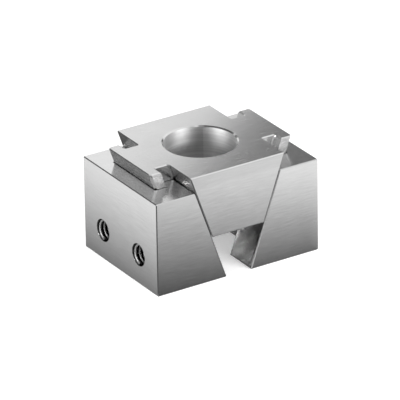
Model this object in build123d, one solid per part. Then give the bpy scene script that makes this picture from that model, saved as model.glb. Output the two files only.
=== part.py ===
from build123d import *
import os
from math import cos, radians, tan

# Block in millimetres: X across the two jaws, Y along the wedge, Z up from the base
block_depth = 38.1        # 1.5 in, wedge and jaws are ground flush at both ends
jaw_height = 27.8
jaw_top_width = 12.6      # each jaw's top face, across X
flank_angle = 19.4        # slope of the wedge's flanks, from the vertical
edge_break = 0.25         # chamfer on the outer edges

# Wedge
wedge_top_width = 30.6    # across the two flanks
wedge_height = 19.5
wedge_rise = 4.9          # wedge above the jaws before it is drawn down
counterbore_dia = 20.6    # 13/16 in, for the head of a 1/2 in cap screw
counterbore_depth = 13.5
screw_hole_dia = 13.5
bore_chamfer = 0.4

# T rail on each flank of the wedge
neck_width = 15.3
neck_length = 4.4
head_width = 21.8
head_thickness = 3.5
head_chamfer = 0.6        # outer corners only
rail_fillet = 0.6

# T slot in each jaw
flank_gap = 0.15          # between the pressure faces, across X
slot_gap = 0.2            # all round the rail
mouth_fillet = 0.8        # outer edges of the two lips
lip_fillet = 0.8          # inner edges, clear of the rail's fillets
pocket_fillet = 0.3

# Tapped 1/4-20 holes in each clamping face
thread_dia = 6.35
thread_depth = 8.0          # leaves a wall between the drill point and the slot
drill_point_angle = 118.0
thread_chamfer = 0.15
hole_spacing = 18.5
hole_height = 8.9

slope = tan(radians(flank_angle))
wedge_top = jaw_height + wedge_rise
wedge_bottom = wedge_top - wedge_height
LOW = (Align.CENTER, Align.CENTER, Align.MIN)


def flank_at(z):
    """Distance of the wedge's flank from the middle plane, at a height."""
    return wedge_top_width / 2 - (wedge_top - z) * slope


def bar(x_low, x_high, width):
    """Rectangle in plan, from x_low to x_high and centred on y = 0."""
    return Pos((x_low + x_high) / 2, 0) * Rectangle(x_high - x_low, width)


def corners_at(section, half_width):
    """The section's corners that lie at this distance from its centre line."""
    return [v for v in section.vertices() if abs(abs(v.Y) - half_width) < 0.001]


def tee(face_x, head_x, end_x, neck, head):
    """T in plan: x = 0 is the wedge's flank, and a wider foot stands behind face_x."""
    foot = bar(face_x - neck_length, face_x, (neck + block_depth) / 2)
    return foot + bar(face_x - neck_length, end_x, neck) + bar(head_x, end_x, head)


def up_the_flank(section, low, high):
    """Solid that follows the right-hand flank between two heights."""
    length = (high - low) / cos(radians(flank_angle))
    return extrude(Pos(flank_at(low), 0, low) * section, length, dir=(slope, 0, 1))


def prism(outline):
    """Front outline, (x, z) points, carried through the whole depth."""
    face = Plane.XZ * make_face(Polyline(*outline, close=True))
    return extrude(face, block_depth / 2, both=True)


def rail():
    """T rail with filleted roots and a head chamfered on its outer corners."""
    section = tee(0, neck_length, neck_length + head_thickness, neck_width, head_width)
    section = fillet(corners_at(section, neck_width / 2), rail_fillet)
    outer = [v for v in corners_at(section, head_width / 2) if v.X > neck_length + head_thickness / 2]
    section = chamfer(outer, head_chamfer)
    return up_the_flank(section, wedge_bottom, wedge_top)


def slot():
    """Room for the rail, open above and below the jaw."""
    neck = neck_width + 2 * slot_gap
    head = head_width + 2 * slot_gap
    end_x = neck_length + head_thickness + slot_gap
    section = tee(flank_gap, neck_length - slot_gap, end_x, neck, head)
    middle = neck_length / 2
    section = fillet([v for v in corners_at(section, neck / 2) if v.X > middle], lip_fillet)
    section = fillet([v for v in corners_at(section, neck / 2) if v.X < middle], mouth_fillet)
    section = fillet(corners_at(section, head / 2), pocket_fillet)
    return up_the_flank(section, -edge_break, jaw_height + edge_break)


def screw_bore():
    """Stepped bore for the clamping screw, with its mouth chamfered at both ends."""
    seat = wedge_top - counterbore_depth
    bore = Pos(0, 0, seat) * Cylinder(counterbore_dia / 2, counterbore_depth, align=LOW)
    bore += Pos(0, 0, wedge_bottom) * Cylinder(screw_hole_dia / 2, wedge_height, align=LOW)
    wide = counterbore_dia / 2
    narrow = screw_hole_dia / 2
    top = wedge_top - bore_chamfer
    bore += Pos(0, 0, top) * Cone(wide, wide + bore_chamfer, bore_chamfer, align=LOW)
    return bore + Pos(0, 0, wedge_bottom) * Cone(narrow + bore_chamfer, narrow, bore_chamfer, align=LOW)


def tapped_hole():
    """Blind hole into the clamping face: x = 0 is its mouth, and it runs towards -X."""
    radius = thread_dia / 2
    point = radius / tan(radians(drill_point_angle / 2))
    hole = Cylinder(radius, thread_depth, align=LOW)
    hole += Pos(0, 0, thread_depth) * Cone(radius, 0, point, align=LOW)
    hole += Cone(radius + thread_chamfer, radius, thread_chamfer, align=LOW)
    return Rot(0, -90, 0) * hole


def break_edges(body):
    """Small chamfer round the top and base and up the four outer corners."""
    corners = [e for e in body.edges() if abs(abs(e.center().Y) - block_depth / 2) < 0.001]
    return chamfer(body.faces().filter_by(Axis.Z).edges() + corners, edge_break)


def make_wedge():
    half_top = flank_at(wedge_top)
    half_bottom = flank_at(wedge_bottom)
    outline = [(-half_bottom, wedge_bottom), (half_bottom, wedge_bottom)]
    outline += [(half_top, wedge_top), (-half_top, wedge_top)]
    body = prism(outline) + rail() + mirror(rail(), about=Plane.YZ)
    return break_edges(body) - screw_bore()


def make_jaw():
    """Right-hand jaw, standing on z = 0."""
    foot_x = flank_at(0) + flank_gap
    neck_x = flank_at(jaw_height) + flank_gap
    outer_x = neck_x + jaw_top_width
    body = prism([(foot_x, 0), (outer_x, 0), (outer_x, jaw_height), (neck_x, jaw_height)])
    body = break_edges(body) - slot()
    for y in (-hole_spacing / 2, hole_spacing / 2):
        body -= Pos(outer_x, y, hole_height) * tapped_hole()
    return body


right_jaw = make_jaw()
pieces = {"wedge": make_wedge(), "right_jaw": right_jaw, "left_jaw": mirror(right_jaw, about=Plane.YZ)}

os.makedirs("parts", exist_ok=True)
for name, piece in pieces.items():
    export_step(piece, f"parts/{name}.step")
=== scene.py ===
import bpy
from math import cos, pi, radians, sin
from mathutils import Matrix, Vector


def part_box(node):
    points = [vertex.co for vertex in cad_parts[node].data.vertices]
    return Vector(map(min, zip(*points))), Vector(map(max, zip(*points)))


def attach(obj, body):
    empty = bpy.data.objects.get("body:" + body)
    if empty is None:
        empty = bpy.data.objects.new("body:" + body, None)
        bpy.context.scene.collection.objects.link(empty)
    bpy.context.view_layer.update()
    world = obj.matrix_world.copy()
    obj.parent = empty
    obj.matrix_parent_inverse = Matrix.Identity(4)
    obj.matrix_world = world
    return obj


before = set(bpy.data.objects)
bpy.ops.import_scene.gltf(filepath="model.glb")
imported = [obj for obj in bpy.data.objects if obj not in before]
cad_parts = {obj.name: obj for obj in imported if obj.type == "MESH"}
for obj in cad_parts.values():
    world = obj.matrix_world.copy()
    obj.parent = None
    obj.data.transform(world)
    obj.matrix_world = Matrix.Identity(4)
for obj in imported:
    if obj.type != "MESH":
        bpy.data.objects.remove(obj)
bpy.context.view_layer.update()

# Camera. A long lens from the front left looks down on the block, with a slight roll.
# Angles are in degrees and lengths in metres, but for the lens and its sensor in millimetres.
# The offset is across and up in the picture.
azimuth, elevation, roll = -32.122, 25.551, -0.902
camera_distance = 1.3972
camera_aim = Vector((0, 0, 0.01529))
camera_offset = (-0.000297, -0.000449)
focal_length, sensor_width = 454.05, 36
clip_start, clip_end = 0.05, 20

turn, lift = radians(azimuth), radians(elevation)
back = Vector((sin(turn) * cos(lift), -cos(turn) * cos(lift), sin(lift)))
across = Vector((0, 0, 1)).cross(back).normalized()
tilt = Matrix.Rotation(radians(roll), 3, back)
right, up = tilt @ across, tilt @ back.cross(across)
camera = bpy.data.objects.new("camera", bpy.data.cameras.new("camera"))
bpy.context.scene.collection.objects.link(camera)
camera.data.lens, camera.data.sensor_width = focal_length, sensor_width
camera.data.clip_start, camera.data.clip_end = clip_start, clip_end
standpoint = camera_aim + camera_distance * back + camera_offset[0] * right + camera_offset[1] * up
camera.matrix_world = Matrix.Translation(standpoint) @ Matrix((right, up, back)).transposed().to_4x4()
bpy.context.scene.camera = camera
bpy.context.scene.view_settings.view_transform = "Standard"

# Room. The studio's walls are white to the eye and in the steel, and a softer grey as the
# light that falls on the paper.
room_grey = 0.8


def add_node(tree, kind, inputs=(), family="ShaderNode", **settings):
    """Add a node with its settings and its inputs, which are values or other nodes' outputs."""
    made = tree.nodes.new(family + kind)
    for name, value in settings.items():
        setattr(made, name, value)
    for socket, value in dict(inputs).items():
        if isinstance(value, bpy.types.NodeSocket):
            tree.links.new(value, made.inputs[socket])
        else:
            made.inputs[socket].default_value = value
    return made.outputs


def calculate(tree, operation, first, second=0.0, third=0.0):
    """Output of a Math node."""
    return add_node(tree, "Math", {0: first, 1: second, 2: third}, operation=operation)[0]


def grey(value):
    return (value, value, value, 1)


def seen_how(tree):
    """Two switches: 1 where the camera sees a surface directly, and 1 where steel or glass shows it."""
    path = add_node(tree, "LightPath")
    shown = calculate(tree, "MAXIMUM", path["Is Glossy Ray"], path["Is Transmission Ray"])
    return path["Is Camera Ray"], shown


room = bpy.data.worlds.new("room")
bpy.context.scene.world = room
room.use_nodes = True
tree = room.node_tree
tree.nodes.clear()
direct, shown = seen_how(tree)
seen = calculate(tree, "MAXIMUM", direct, shown)
lit_walls = add_node(tree, "Background", {"Color": grey(room_grey)})[0]
seen_walls = add_node(tree, "Background", {"Color": grey(1)})[0]
walls = add_node(tree, "MixShader", {0: seen, 1: lit_walls, 2: seen_walls})[0]
add_node(tree, "OutputWorld", {0: walls})

# Floor. Pale paper, white to the eye but for the block's soft shadow. In the steel it shows a painted
# shade next to the block, which grows white outwards, at the sides sooner than in front.
jaw_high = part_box("right_jaw")[1]
half_width, half_depth = jaw_high.x, jaw_high.y
floor_size = 6.0
paper_grey, paper_glow = 0.8, 0.4
side_painted_shade, side_reach = 0.23, 0.031
front_painted_shade, front_reach = 0.12, 0.082
rightward = 12.0             # share of painted light that the front gains for each metre to the right


def remap(tree, value, low, high, to_low, to_high):
    """Value carried over from one range to another, and held at its ends."""
    return add_node(tree, "MapRange", {0: value, 1: low, 2: high, 3: to_low, 4: to_high})[0]


bpy.ops.mesh.primitive_plane_add(size=floor_size)
floor = bpy.context.object
floor.name = "floor"
paper = bpy.data.materials.new("paper")
paper.use_nodes = True
tree = paper.node_tree
tree.nodes.clear()
spot = add_node(tree, "SeparateXYZ", {0: add_node(tree, "TexCoord")["Object"]})
sideways = calculate(tree, "ABSOLUTE", spot["X"])
forward = calculate(tree, "MULTIPLY", spot["Y"], -1.0)
# Painted shade on the paper as the steel sees it: dark by the block, lightening outwards
painted_side_light = remap(tree, sideways, half_width, half_width + side_reach, side_painted_shade, 1.0)
beside = calculate(tree, "GREATER_THAN", sideways, half_width)
painted_side_light = calculate(tree, "MULTIPLY", painted_side_light, beside)
painted_front_light = remap(tree, forward, half_depth, half_depth + front_reach, front_painted_shade, 1.0)
rise = calculate(tree, "MULTIPLY_ADD", spot["X"], rightward, 1.0)
painted_front_light = calculate(tree, "MULTIPLY", painted_front_light, rise)
painted_floor_light = calculate(tree, "MINIMUM", calculate(tree, "MAXIMUM", painted_side_light, painted_front_light), 1.0)
direct, shown = seen_how(tree)
diffuse = add_node(tree, "BsdfDiffuse", {"Color": grey(paper_grey)})[0]
white = add_node(tree, "Emission", {"Strength": calculate(tree, "MULTIPLY", direct, paper_glow)})[0]
lit = add_node(tree, "AddShader", {0: diffuse, 1: white})[0]
# The steel sees this painted shade in place of the lit paper
painted_mirror_floor = add_node(tree, "Emission", {"Strength": painted_floor_light})[0]
sheet = add_node(tree, "MixShader", {0: shown, 1: lit, 2: painted_mirror_floor})[0]
add_node(tree, "OutputMaterial", {0: sheet})
floor.data.materials.append(paper)

# Cards. Grey cards stand round the block and show only in the steel. They leave a white
# opening low at the back left, so that the top runs from light to dark across the view.
# Their sides are measured away from the camera, across the view and up, from the block's axis.
away = Vector((0, 0, 1)).cross(across)
wall_distance, wall_side, wall_right, wall_top = 0.22, 1.2, 0.16, 0.60
opening_left, opening_top = -0.32, 0.23
opening_foot, opening_head = 0.105, -0.345    # its slanting right side, at the floor and at wall_top
left_split, narrow_right, narrow_top = 0.13, -0.165, 0.16
above_shift, strip_shift, narrow_shift = 0.01, -0.005, -0.003    # out of the other cards' plane
near_distance, near_low = -0.30, 0.03
overhead_height, overhead_reach = 0.45, 0.3


def point(depth, side, height):
    """Point this far beyond the block's axis, across the view and above the floor."""
    return depth * away + side * across + Vector((0, 0, height))


def add_card(name, corners, shade):
    """Flat card with the given corners and grey, which only glossy rays see."""
    mesh = bpy.data.meshes.new(name)
    mesh.from_pydata(corners, [], [tuple(range(len(corners)))])
    card = bpy.data.objects.new(name, mesh)
    bpy.context.scene.collection.objects.link(card)
    finish = bpy.data.materials.new(name)
    finish.use_nodes = True
    finish.node_tree.nodes.clear()
    glow = add_node(finish.node_tree, "Emission", {"Color": grey(shade)})[0]
    add_node(finish.node_tree, "OutputMaterial", {0: glow})
    mesh.materials.append(finish)
    card.visible_camera = card.visible_diffuse = card.visible_shadow = False
    return card


def stand_card(name, depth, left, right_end, low, high, shade, left_high=None):
    """Upright card across the view, whose left side may slant from left up to left_high."""
    left_high = left if left_high is None else left_high
    outline = [(left, low), (right_end, low), (right_end, high), (left_high, high)]
    add_card(name, [point(depth, side, height) for side, height in outline], shade)


def hang_card(name, left, right_end, shade):
    """Level card over the block."""
    reach = overhead_reach
    outline = [(-reach, left), (reach, left), (reach, right_end), (-reach, right_end)]
    add_card(name, [point(depth, side, overhead_height) for depth, side in outline], shade)


# Behind the block, to the right of the opening, above it and to its left
stand_card("card_right", wall_distance, opening_foot, wall_right, low=0.0, high=wall_top, shade=0.17,
           left_high=opening_head)
stand_card("card_above", wall_distance + above_shift, -wall_side, wall_right, low=opening_top, high=wall_top,
           shade=0.15)
stand_card("card_strip", wall_distance + strip_shift, left=-0.27, right_end=-0.16, low=0.282, high=0.45,
           shade=0.75)
stand_card("card_left", wall_distance, -wall_side, opening_left, low=0.0, high=left_split, shade=0.4)
stand_card("card_narrow", wall_distance + narrow_shift, opening_left, narrow_right, low=0.0, high=narrow_top,
           shade=0.1)
stand_card("card_high_left", wall_distance, -wall_side, opening_left, low=left_split, high=wall_top,
           shade=0.12)

# On the camera's side, and overhead
stand_card("card_camera", near_distance, left=-0.13, right_end=0.13, low=near_low, high=0.5, shade=0.05)
stand_card("card_front", near_distance, left=0.13, right_end=0.50, low=near_low, high=0.8, shade=0.5)
stand_card("card_front_right", near_distance, left=0.50, right_end=0.90, low=near_low, high=0.8, shade=0.5)
hang_card("card_overhead", left=-0.06, right_end=0.03, shade=0.35)
hang_card("card_overhead_left", left=-0.9, right_end=-0.06, shade=0.12)

# On the paper beyond the near left corner, whose broken edge shows it as a dark line
near, far, card_lift = -0.0005, -0.3, 0.0002
corner = [(near, near), (near, far), (far, far), (far, near)]
add_card("card_corner", [(x - half_width, y - half_depth, card_lift) for x, y in corner], shade=0.1)

# Lamps. Softboxes on each side of the camera draw the bright bands down the bore. On the right
# the stronger of two in one place lights the wedge and the paper alone, and a grey flag close
# in front of the block hides both from part of the steel.
left_place, right_place = point(-0.14, -0.265, 0.092), point(-0.165, 0.250, 0.095)
flag_left, flag_right, flag_low, flag_high = -0.027, 0.038, 0.0302, 0.0374
flag_gap = 0.00495


def add_softbox(name, where, width, height, brightness):
    """Area lamp aimed at the block. Its brightness is what the steel shows, where 1 is white."""
    lamp = bpy.data.lights.new(name, "AREA")
    lamp.shape, lamp.size, lamp.size_y = "RECTANGLE", width, height
    lamp.energy = brightness * pi * width * height
    box = bpy.data.objects.new(name, lamp)
    bpy.context.scene.collection.objects.link(box)
    aim = (where - camera_aim).to_track_quat("Z", "Y")
    box.matrix_world = Matrix.Translation(where) @ aim.to_matrix().to_4x4()
    box.visible_camera = False
    return box


add_softbox("softbox_left", left_place, width=0.19, height=0.10, brightness=10.5)
add_softbox("softbox_right", right_place, width=0.19, height=0.07, brightness=8.0)
bore_box = add_softbox("softbox_bore", right_place, width=0.19, height=0.07, brightness=20.0)
outline = [(flag_left, flag_low), (flag_right, flag_low), (flag_right, flag_high), (flag_left, flag_high)]
flag = add_card("flag", [(x, -half_depth - flag_gap, z) for x, z in outline], shade=0.65)
flag.visible_shadow = True
receivers = bpy.data.collections.new("receivers")
receivers.objects.link(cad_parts["wedge"])
receivers.objects.link(floor)
bore_box.light_linking.receiver_collection = receivers

# Jaws. Two blocks of tool steel, milled and surface ground to a fine straight grain, with
# their edges lightly broken. The grain runs along X on the ends and the level faces, and
# along the block on the others.
jaw_grey, jaw_roughness, jaw_top_roughness = 0.76, 0.17, 0.03
grain_fine, grain_long = 4000.0, 200.0    # noise cells for each metre, across the grain and along it
grain_detail, grain_contrast = 4.0, 0.65
grain_depth, grain_strength, level_grain = 0.00002, 0.05, 0.1
grain_low, grain_high = 0.3, 0.7          # range of the noise that shows
grain_spread, roughness_spread = 0.05, 0.03
cloud_scale, cloud_detail, cloud_spread = 130.0, 3.0, 0.02
anisotropy = 0.7
face_limit = 0.8              # least part of the normal along Y on an end, and along Z on a level face
worn_width, worn_lift = 0.0003, 0.06
worn_none, worn_full = 0.98, 0.85         # from no wear to full, as the edge's normal turns
ring_fine, ring_stretch = 1500.0, 0.15
ring_low, ring_high, ring_dark, ring_light = 0.35, 0.65, 0.92, 1.07
turned_roughness = 0.43
thread_radius, hole_spacing, hole_height = 0.003175, 0.0185, 0.0089
# Where the painted shade falls in the tapped holes, and how dark it grows at the thread roots
hole_bottom, hole_margin, face_skin = 0.0101, 0.0002, 0.00001
root_depth, painted_root_grey = 0.0006, 0.12


def choose(tree, switch, off, on):
    """The value off where the switch is 0, and on where it is 1."""
    return add_node(tree, "MapRange", {0: switch, 3: off, 4: on})[0]


def length(tree, first, second):
    """Length of a line that covers these two distances, at right angles to each other."""
    line = add_node(tree, "CombineXYZ", {"X": first, "Y": second})[0]
    return add_node(tree, "VectorMath", {0: line}, operation="LENGTH")["Value"]


def painted_hole_shade(tree, place):
    """Painted shade: 1 on the block's faces, and darker towards the roots of the threads in the tapped
    holes.
    """
    beside = calculate(tree, "SUBTRACT", calculate(tree, "ABSOLUTE", place["Y"]), hole_spacing / 2)
    above = calculate(tree, "SUBTRACT", place["Z"], hole_height)
    spoke = length(tree, beside, above)
    depth = calculate(tree, "SUBTRACT", half_width, calculate(tree, "ABSOLUTE", place["X"]))
    inside = calculate(tree, "LESS_THAN", spoke, thread_radius + hole_margin)
    inside = calculate(tree, "MULTIPLY", inside, calculate(tree, "GREATER_THAN", depth, face_skin))
    inside = calculate(tree, "MULTIPLY", inside, calculate(tree, "LESS_THAN", depth, hole_bottom))
    root = remap(tree, spoke, thread_radius - root_depth, thread_radius, 1.0, painted_root_grey)
    return choose(tree, inside, 1.0, root)


def grain_noise(tree, spot, end_face, level_face, turned):
    """Noise drawn out along the grain of each face, and into rings on a turned one."""
    along_x = calculate(tree, "MAXIMUM", calculate(tree, "MAXIMUM", end_face, turned), level_face)
    stretch = choose(tree, turned, 1.0, ring_stretch)
    x_scale = calculate(tree, "MULTIPLY", choose(tree, along_x, grain_fine, grain_long), stretch)
    y_scale = calculate(tree, "MULTIPLY", choose(tree, level_face, grain_long, grain_fine), stretch)
    z_scale = choose(tree, turned, grain_fine, ring_fine)
    scale = add_node(tree, "CombineXYZ", {"X": x_scale, "Y": y_scale, "Z": z_scale})[0]
    drawn = add_node(tree, "VectorMath", {0: spot, 1: scale}, operation="MULTIPLY")[0]
    noise = {"Vector": drawn, "Scale": 1.0, "Detail": grain_detail, "Roughness": grain_contrast}
    return add_node(tree, "TexNoise", noise)[0]


def ground_steel(name, colour, roughness, turned_radius=0.0, top_roughness=0.0, painted_end_shade=1.0):
    """Ground steel, with turned rings inside the given radius from the Z axis, and painted shade in the
    holes and on the ends.
    """
    steel = bpy.data.materials.new(name)
    steel.use_nodes = True
    tree = steel.node_tree
    spot = add_node(tree, "TexCoord")["Object"]
    place = add_node(tree, "SeparateXYZ", {0: spot})
    normal = add_node(tree, "NewGeometry")["Normal"]
    facing = add_node(tree, "SeparateXYZ", {0: normal})
    end_face = calculate(tree, "GREATER_THAN", calculate(tree, "ABSOLUTE", facing["Y"]), face_limit)
    level_face = calculate(tree, "GREATER_THAN", calculate(tree, "ABSOLUTE", facing["Z"]), face_limit)
    turned = calculate(tree, "LESS_THAN", length(tree, place["X"], place["Y"]), turned_radius)
    grain = grain_noise(tree, spot, end_face, level_face, turned)
    cloud = add_node(tree, "TexNoise", {"Vector": spot, "Scale": cloud_scale, "Detail": cloud_detail})[0]
    rounded = add_node(tree, "Bevel", {"Radius": worn_width})[0]
    edge = add_node(tree, "VectorMath", {0: rounded, 1: normal}, operation="DOT_PRODUCT")["Value"]
    worn = remap(tree, edge, worn_none, worn_full, 0.0, 1.0)

    dark, pale = colour * (1 - grain_spread), colour * (1 + grain_spread)
    shade = remap(tree, grain, grain_low, grain_high, dark, pale)
    smudge = remap(tree, cloud, grain_low, grain_high, 1 - cloud_spread, 1 + cloud_spread)
    shade = calculate(tree, "MULTIPLY", shade, smudge)
    ring = remap(tree, grain, ring_low, ring_high, ring_dark, ring_light)
    shade = calculate(tree, "MULTIPLY", shade, choose(tree, turned, 1.0, ring))
    shade = calculate(tree, "MULTIPLY_ADD", worn, worn_lift, shade)
    # Painted shade deep in the tapped holes
    shade = calculate(tree, "MULTIPLY", shade, painted_hole_shade(tree, place))
    # Painted shade: the ends are darker, for the light that falls on them
    shade = calculate(tree, "MULTIPLY", shade, choose(tree, end_face, 1.0, painted_end_shade))
    smooth, rough = roughness - roughness_spread, roughness + roughness_spread
    rough = remap(tree, grain, grain_low, grain_high, smooth, rough)
    rough = calculate(tree, "MULTIPLY_ADD", turned, turned_roughness, rough)
    rough = calculate(tree, "MULTIPLY_ADD", level_face, top_roughness, rough)
    height = calculate(tree, "MULTIPLY", grain, choose(tree, level_face, 1.0, level_grain))
    bump = {"Height": height, "Distance": grain_depth, "Strength": grain_strength}
    upright = calculate(tree, "SUBTRACT", 1.0, level_face)
    across_grain = add_node(tree, "CombineXYZ", {"X": level_face, "Z": upright})[0]

    shader = tree.nodes["Principled BSDF"]
    shader.inputs["Metallic"].default_value = 1.0
    shader.inputs["Anisotropic"].default_value = anisotropy
    tree.links.new(shade, shader.inputs["Base Color"])
    tree.links.new(rough, shader.inputs["Roughness"])
    tree.links.new(add_node(tree, "Bump", bump)[0], shader.inputs["Normal"])
    tree.links.new(across_grain, shader.inputs["Tangent"])
    return steel


jaw_steel = ground_steel("jaw_steel", jaw_grey, jaw_roughness, top_roughness=jaw_top_roughness)
for name in ("left_jaw", "right_jaw"):
    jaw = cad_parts[name]
    jaw.data.materials.clear()
    jaw.data.materials.append(jaw_steel)

# Jaw threads. The holes for the jaw plates' screws are tapped 1/4-20: a right-handed ridge,
# cut in the jaw's own steel, its grey painted darker for the shade deep in the holes. Its root is sunk a
# little in the wall.
painted_dark_cut_grey, cut_roughness = 0.5, 0.5
holes_per_jaw = 2
thread_pitch, thread_turns = 0.00127, 5.4
ridge_depth, ridge_root, ridge_crest, ridge_sink = 0.00068, 0.00108, 0.00022, 0.00003
thread_start = 0.00056       # from the clamping face to the middle of the first turn
turn_steps = 40


def thread_group():
    """Geometry Nodes tree for one jaw's threads, side by side along Y with their axes along X."""
    group = bpy.data.node_groups.new("tapped_threads", "GeometryNodeTree")
    group.interface.new_socket("Geometry", in_out="INPUT", socket_type="NodeSocketGeometry")
    group.interface.new_socket("Geometry", in_out="OUTPUT", socket_type="NodeSocketGeometry")
    kinds = {"Radius": "Float", "Pitch": "Float", "Turns": "Float", "Depth": "Float", "Root": "Float",
             "Crest": "Float", "Spacing": "Float", "Start": "Vector", "Turn": "Vector", "Steel": "Material"}
    for label, kind in kinds.items():
        group.interface.new_socket(label, in_out="INPUT", socket_type="NodeSocket" + kind)
    sizes = add_node(group, "NodeGroupInput", family="")

    def shape(kind, inputs, **settings):
        """Output of a new geometry node."""
        return add_node(group, kind, inputs, "GeometryNode", **settings)[0]

    height = calculate(group, "MULTIPLY", sizes["Pitch"], sizes["Turns"])
    helix = {"Resolution": turn_steps, "Rotations": sizes["Turns"], "Start Radius": sizes["Radius"],
             "End Radius": sizes["Radius"], "Height": height, "Reverse": True}
    helix = shape("CurveSpiral", helix)
    helix = shape("SetCurveNormal", {"Curve": helix}, mode="Z_UP")
    form = {"Height": sizes["Depth"], "Bottom Width": sizes["Root"], "Top Width": sizes["Crest"],
            "Offset": 0.0}
    form = shape("CurvePrimitiveQuadrilateral", form, mode="TRAPEZOID")
    form = shape("Transform", {"Geometry": form, "Rotation": (0, 0, pi / 2)})
    ridge = shape("CurveToMesh", {"Curve": helix, "Profile Curve": form, "Fill Caps": True})
    ridge = shape("Transform", {"Geometry": ridge, "Rotation": sizes["Turn"]})
    step = add_node(group, "CombineXYZ", {"Y": sizes["Spacing"]})[0]
    row = {"Count": holes_per_jaw, "Start Location": sizes["Start"], "Offset": step}
    holes = shape("MeshLine", row)
    ridges = shape("InstanceOnPoints", {"Points": holes, "Instance": ridge})
    ridges = shape("RealizeInstances", {"Geometry": ridges})
    ridges = shape("SetMaterial", {"Geometry": ridges, "Material": sizes["Steel"]})
    add_node(group, "NodeGroupOutput", {0: ridges}, family="")
    return group


cut_steel = ground_steel("cut_steel", painted_dark_cut_grey, cut_roughness)
threads = thread_group()
for jaw_name, side in (("left_jaw", -1), ("right_jaw", 1)):
    values = {
        "Radius": thread_radius - ridge_depth / 2 + ridge_sink, "Pitch": thread_pitch, "Turns": thread_turns,
        "Depth": ridge_depth, "Root": ridge_root, "Crest": ridge_crest, "Spacing": hole_spacing,
        "Start": Vector((side * (half_width - thread_start), -hole_spacing / 2, hole_height)),
        "Turn": Vector((0, -side * pi / 2, 0)), "Steel": cut_steel,
    }
    maker = bpy.data.objects.new("maker", bpy.data.meshes.new("maker"))
    bpy.context.scene.collection.objects.link(maker)
    modifier = maker.modifiers.new("threads", "NODES")
    modifier.node_group = threads
    for item in threads.interface.items_tree:
        if item.in_out == "INPUT" and item.name in values:
            modifier[item.identifier] = values[item.name]
    made = maker.evaluated_get(bpy.context.evaluated_depsgraph_get())
    mesh = bpy.data.meshes.new_from_object(made)
    bpy.data.objects.remove(maker)
    piece = bpy.data.objects.new(jaw_name + "_threads", mesh)
    bpy.context.scene.collection.objects.link(piece)
    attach(piece, jaw_name)

# Wedge. One block of tool steel with its T rails milled from the solid, ground like the jaws.
# The screw's counterbore is turned, which leaves fine rings round its wall.
wedge_grey, wedge_roughness, wedge_top_roughness = 0.74, 0.17, 0.08
# Painted shade on the wedge's ends, darker for how light falls on them
wedge_painted_end_shade = 0.87
bore_radius = 0.01033        # takes in the counterbore's wall, and not its chamfer
wedge_steel = ground_steel("wedge_steel", wedge_grey, wedge_roughness, bore_radius, wedge_top_roughness,
                           wedge_painted_end_shade)
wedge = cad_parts["wedge"]
wedge.data.materials.clear()
wedge.data.materials.append(wedge_steel)
